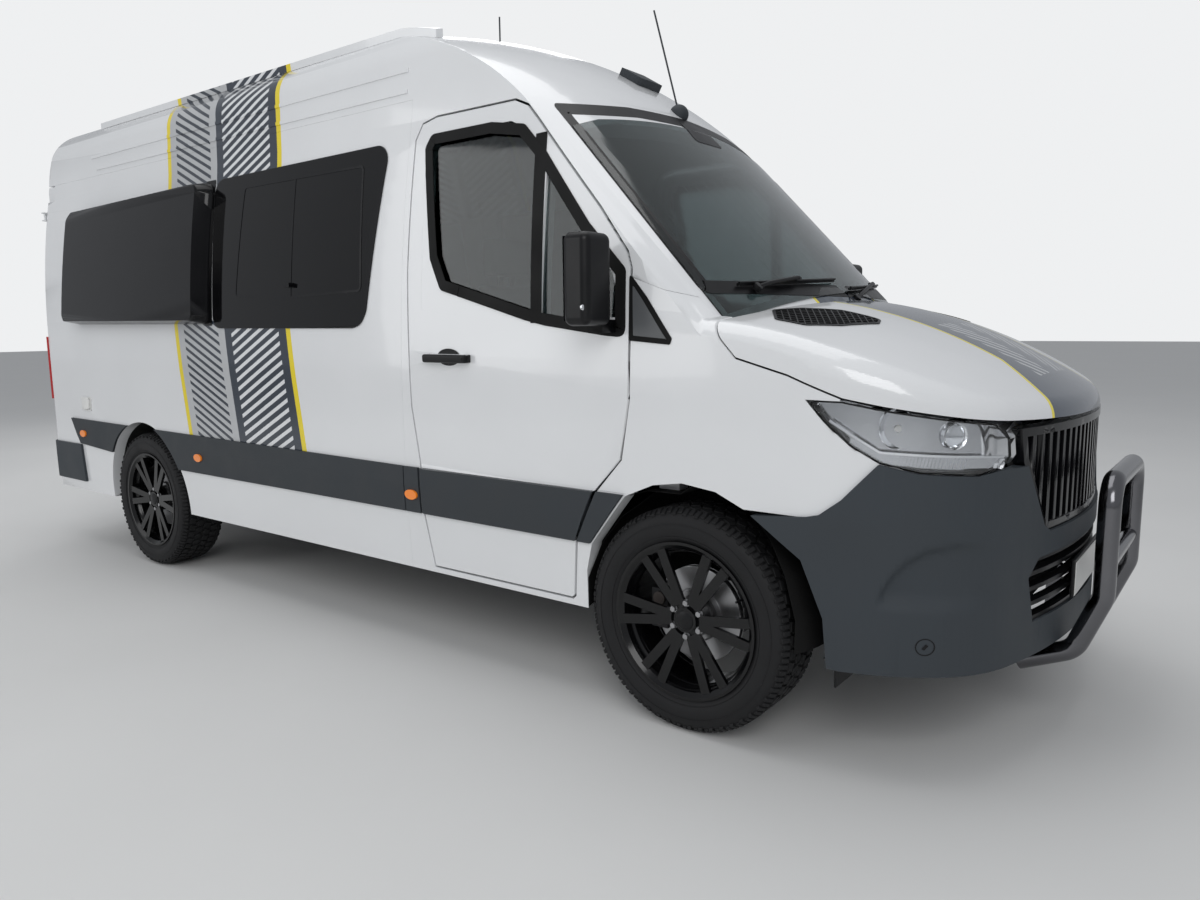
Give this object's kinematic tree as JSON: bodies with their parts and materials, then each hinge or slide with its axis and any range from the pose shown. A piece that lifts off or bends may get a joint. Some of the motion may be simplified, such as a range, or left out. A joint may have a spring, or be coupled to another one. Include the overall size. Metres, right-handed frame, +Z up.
{
  "type": "camper van",
  "caption": "High-roof panel van converted to a camper, with hinged doors and bonnet, steered front wheels and a bull bar.",
  "frame": {"origin": "on the ground at the middle of the van's length and width", "axes": "+X forward, +Y to the van's left, +Z up"},
  "size_m": [6.138, 2.345, 2.8999],
  "materials": {
    "body_white": "gloss",
    "underbody": "satin",
    "bumper": "matte",
    "black_plastic": "matte",
    "mirror_black": "gloss",
    "bar_metal": "polished",
    "glazing": "gloss",
    "amber": "gloss",
    "lamp_red": "gloss",
    "tyre": "matte",
    "rim": "gloss",
    "steel": "satin",
    "engine": "matte",
    "tank": "matte",
    "seat_cloth": "matte",
    "dash": "matte",
    "furniture": "satin"
  },
  "bodies": {
    "root": {"side_panel_right": "body_white", "side_panel_left": "body_white", "sliding_door": "body_white", "roof_shell": "body_white", "front_wings": "body_white", "roof_rails": "body_white", "cab_frame": "body_white", "floor_pan": "underbody", "wheel_housings": "underbody", "chassis": "underbody", "front_suspension": "underbody", "rear_axle": "underbody", "front_bumper": "bumper", "rear_bumper": "bumper", "trim_strips": "bumper", "upper_grille": "black_plastic", "lower_grille": "black_plastic", "wipers": "black_plastic", "roof_fittings": "black_plastic", "side_pod_right": "black_plastic", "side_pod_left": "black_plastic", "bull_bar": "bar_metal", "windscreen": "glazing", "side_windows": "glazing", "headlamps": "glazing", "side_markers": "amber", "tail_lamps": "lamp_red", "exhaust": "steel", "engine": "engine", "fuel_tank": "tank", "front_seats": "seat_cloth", "mattress": "seat_cloth", "dashboard": "dash", "furniture": "furniture"},
    "front_door_right": {"front_door_right": "body_white", "door_glass_right": "glazing", "mirror_right": "mirror_black"},
    "rear_door_right": {"rear_door_right": "body_white", "rear_glass_right": "glazing"},
    "knuckle_right": {"knuckle_right": "steel"},
    "wheel_front_right": {"rim_front_right": "rim", "tyre_front_right": "tyre"},
    "wheel_rear_right": {"rim_rear_right": "rim", "tyre_rear_right": "tyre"},
    "front_door_left": {"front_door_left": "body_white", "door_glass_left": "glazing", "mirror_left": "mirror_black"},
    "rear_door_left": {"rear_door_left": "body_white", "rear_glass_left": "glazing"},
    "knuckle_left": {"knuckle_left": "steel"},
    "wheel_front_left": {"rim_front_left": "rim", "tyre_front_left": "tyre"},
    "wheel_rear_left": {"rim_rear_left": "rim", "tyre_rear_left": "tyre"},
    "bonnet": {"bonnet": "body_white"},
    "steering_wheel": {"steering_wheel": "dash"}
  },
  "joints": [
    {"name": "right_front_wheel_spin", "type": "hinge", "parent": "knuckle_right", "child": "wheel_front_right", "pos_m": [1.896, -0.866, 0.387], "axis": [0, 1, 0], "continuous": true},
    {"name": "right_rear_wheel_spin", "type": "hinge", "parent": "root", "child": "wheel_rear_right", "pos_m": [-1.769, -0.858, 0.387], "axis": [0, 1, 0], "continuous": true},
    {"name": "right_steer", "type": "hinge", "parent": "root", "child": "knuckle_right", "pos_m": [1.896, -0.8, 0.387], "axis": [0, 0, 1], "range_deg": [-35, 35]},
    {"name": "right_front_door_swing", "type": "hinge", "parent": "root", "child": "front_door_right", "pos_m": [1.736, -0.966, 0.986], "axis": [0, 0, 1], "range_deg": [0, 65]},
    {"name": "right_rear_door_swing", "type": "hinge", "parent": "root", "child": "rear_door_right", "pos_m": [-3.03, -0.905, 1.4], "axis": [0, 0, 1], "range_deg": [0, 180]},
    {"name": "left_front_wheel_spin", "type": "hinge", "parent": "knuckle_left", "child": "wheel_front_left", "pos_m": [1.896, 0.866, 0.387], "axis": [0, 1, 0], "continuous": true},
    {"name": "left_rear_wheel_spin", "type": "hinge", "parent": "root", "child": "wheel_rear_left", "pos_m": [-1.769, 0.858, 0.387], "axis": [0, 1, 0], "continuous": true},
    {"name": "left_steer", "type": "hinge", "parent": "root", "child": "knuckle_left", "pos_m": [1.896, 0.8, 0.387], "axis": [0, 0, 1], "range_deg": [-35, 35]},
    {"name": "left_front_door_swing", "type": "hinge", "parent": "root", "child": "front_door_left", "pos_m": [1.736, 0.966, 0.986], "axis": [0, 0, -1], "range_deg": [0, 65]},
    {"name": "left_rear_door_swing", "type": "hinge", "parent": "root", "child": "rear_door_left", "pos_m": [-3.03, 0.905, 1.4], "axis": [0, 0, -1], "range_deg": [0, 180]},
    {"name": "steering_wheel_turn", "type": "hinge", "parent": "root", "child": "steering_wheel", "pos_m": [1.336, -0.47, 1.215], "axis": [-0.848, 0, 0.5299], "range_deg": [-490, 490]},
    {"name": "bonnet_lift", "type": "hinge", "parent": "root", "child": "bonnet", "pos_m": [1.916, 0, 1.37], "axis": [0, -1, 0], "range_deg": [0, 45]}
  ],
  "couplings": [
    {"joint": "left_steer", "follows": "right_steer", "ratio": 1},
    {"joint": "steering_wheel_turn", "follows": "right_steer", "ratio": 14}
  ]
}
